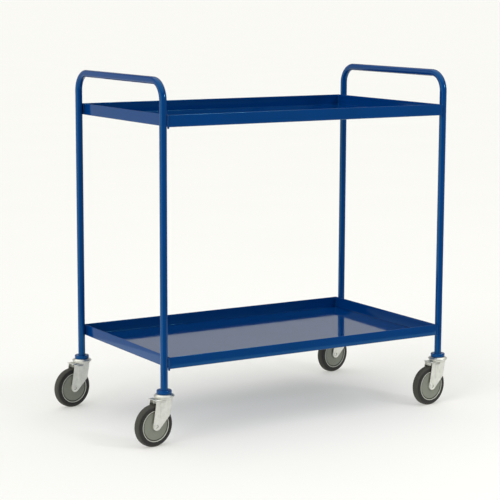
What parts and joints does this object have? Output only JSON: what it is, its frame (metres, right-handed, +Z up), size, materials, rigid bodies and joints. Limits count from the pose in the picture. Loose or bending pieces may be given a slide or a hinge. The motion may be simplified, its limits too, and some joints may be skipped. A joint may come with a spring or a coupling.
{
  "type": "tray trolley",
  "caption": "Two-tier steel tray trolley with bent-tube end frames that form push handles, on solid-tyred swivel castors.",
  "frame": {"origin": "on the floor, midway between the four legs", "axes": "+X along the trays towards the right end frame, +Y across the trays to the back, +Z up"},
  "size_m": [1.1322, 0.614, 1.071],
  "materials": {
    "blue_enamel": "glossy stoved enamel",
    "zinc_plate": "bright zinc plating, fine grain",
    "bright_steel": "turned and plated steel",
    "grey_nylon": "moulded, slightly rough",
    "black_rubber": "solid rubber, matt"
  },
  "bodies": {
    "frame": {"left_end_frame": "blue_enamel", "right_end_frame": "blue_enamel", "upper_tray": "blue_enamel", "lower_tray": "blue_enamel", "upper_tray_welds": "blue_enamel", "lower_tray_welds": "blue_enamel", "foot_ring_welds": "blue_enamel", "foot_boss_front_left": "blue_enamel", "top_disc_front_left": "zinc_plate", "kingpin_front_left": "bright_steel", "castor_bolt_front_left": "bright_steel", "foot_boss_back_left": "blue_enamel", "top_disc_back_left": "zinc_plate", "kingpin_back_left": "bright_steel", "castor_bolt_back_left": "bright_steel", "foot_boss_front_right": "blue_enamel", "top_disc_front_right": "zinc_plate", "kingpin_front_right": "bright_steel", "castor_bolt_front_right": "bright_steel", "foot_boss_back_right": "blue_enamel", "top_disc_back_right": "zinc_plate", "kingpin_back_right": "bright_steel", "castor_bolt_back_right": "bright_steel"},
    "castor_front_left": {"fork_front_left": "zinc_plate", "axle_front_left": "zinc_plate", "swivel_balls_front_left": "bright_steel"},
    "wheel_front_left": {"hub_front_left": "grey_nylon", "bush_front_left": "bright_steel", "tyre_front_left": "black_rubber"},
    "castor_back_left": {"fork_back_left": "zinc_plate", "axle_back_left": "zinc_plate", "swivel_balls_back_left": "bright_steel"},
    "wheel_back_left": {"hub_back_left": "grey_nylon", "bush_back_left": "bright_steel", "tyre_back_left": "black_rubber"},
    "castor_front_right": {"fork_front_right": "zinc_plate", "axle_front_right": "zinc_plate", "swivel_balls_front_right": "bright_steel"},
    "wheel_front_right": {"hub_front_right": "grey_nylon", "bush_front_right": "bright_steel", "tyre_front_right": "black_rubber"},
    "castor_back_right": {"fork_back_right": "zinc_plate", "axle_back_right": "zinc_plate", "swivel_balls_back_right": "bright_steel"},
    "wheel_back_right": {"hub_back_right": "grey_nylon", "bush_back_right": "bright_steel", "tyre_back_right": "black_rubber"}
  },
  "joints": [
    {"name": "swivel_front_left", "type": "hinge", "parent": "frame", "child": "castor_front_left", "pos_m": [-0.5, -0.2765, 0.142], "axis": [0, 0, 1], "continuous": true},
    {"name": "roll_front_left", "type": "hinge", "parent": "castor_front_left", "child": "wheel_front_left", "pos_m": [-0.53912, -0.282, 0.0625], "axis": [0.1392, -0.9903, 0], "continuous": true},
    {"name": "swivel_back_left", "type": "hinge", "parent": "frame", "child": "castor_back_left", "pos_m": [-0.5, 0.2765, 0.142], "axis": [0, 0, 1], "continuous": true},
    {"name": "roll_back_left", "type": "hinge", "parent": "castor_back_left", "child": "wheel_back_left", "pos_m": [-0.53901, 0.27032, 0.0625], "axis": [0.1564, -0.9877, 0], "continuous": true},
    {"name": "swivel_front_right", "type": "hinge", "parent": "frame", "child": "castor_front_right", "pos_m": [0.5, -0.2765, 0.142], "axis": [0, 0, 1], "continuous": true},
    {"name": "roll_front_right", "type": "hinge", "parent": "castor_front_right", "child": "wheel_front_right", "pos_m": [0.46084, -0.28166, 0.0625], "axis": [0.1305, -0.9914, 0], "continuous": true},
    {"name": "swivel_back_right", "type": "hinge", "parent": "frame", "child": "castor_back_right", "pos_m": [0.5, 0.2765, 0.142], "axis": [0, 0, 1], "continuous": true},
    {"name": "roll_back_right", "type": "hinge", "parent": "castor_back_right", "child": "wheel_back_right", "pos_m": [0.46104, 0.26998, 0.0625], "axis": [0.165, -0.9863, 0], "continuous": true}
  ]
}
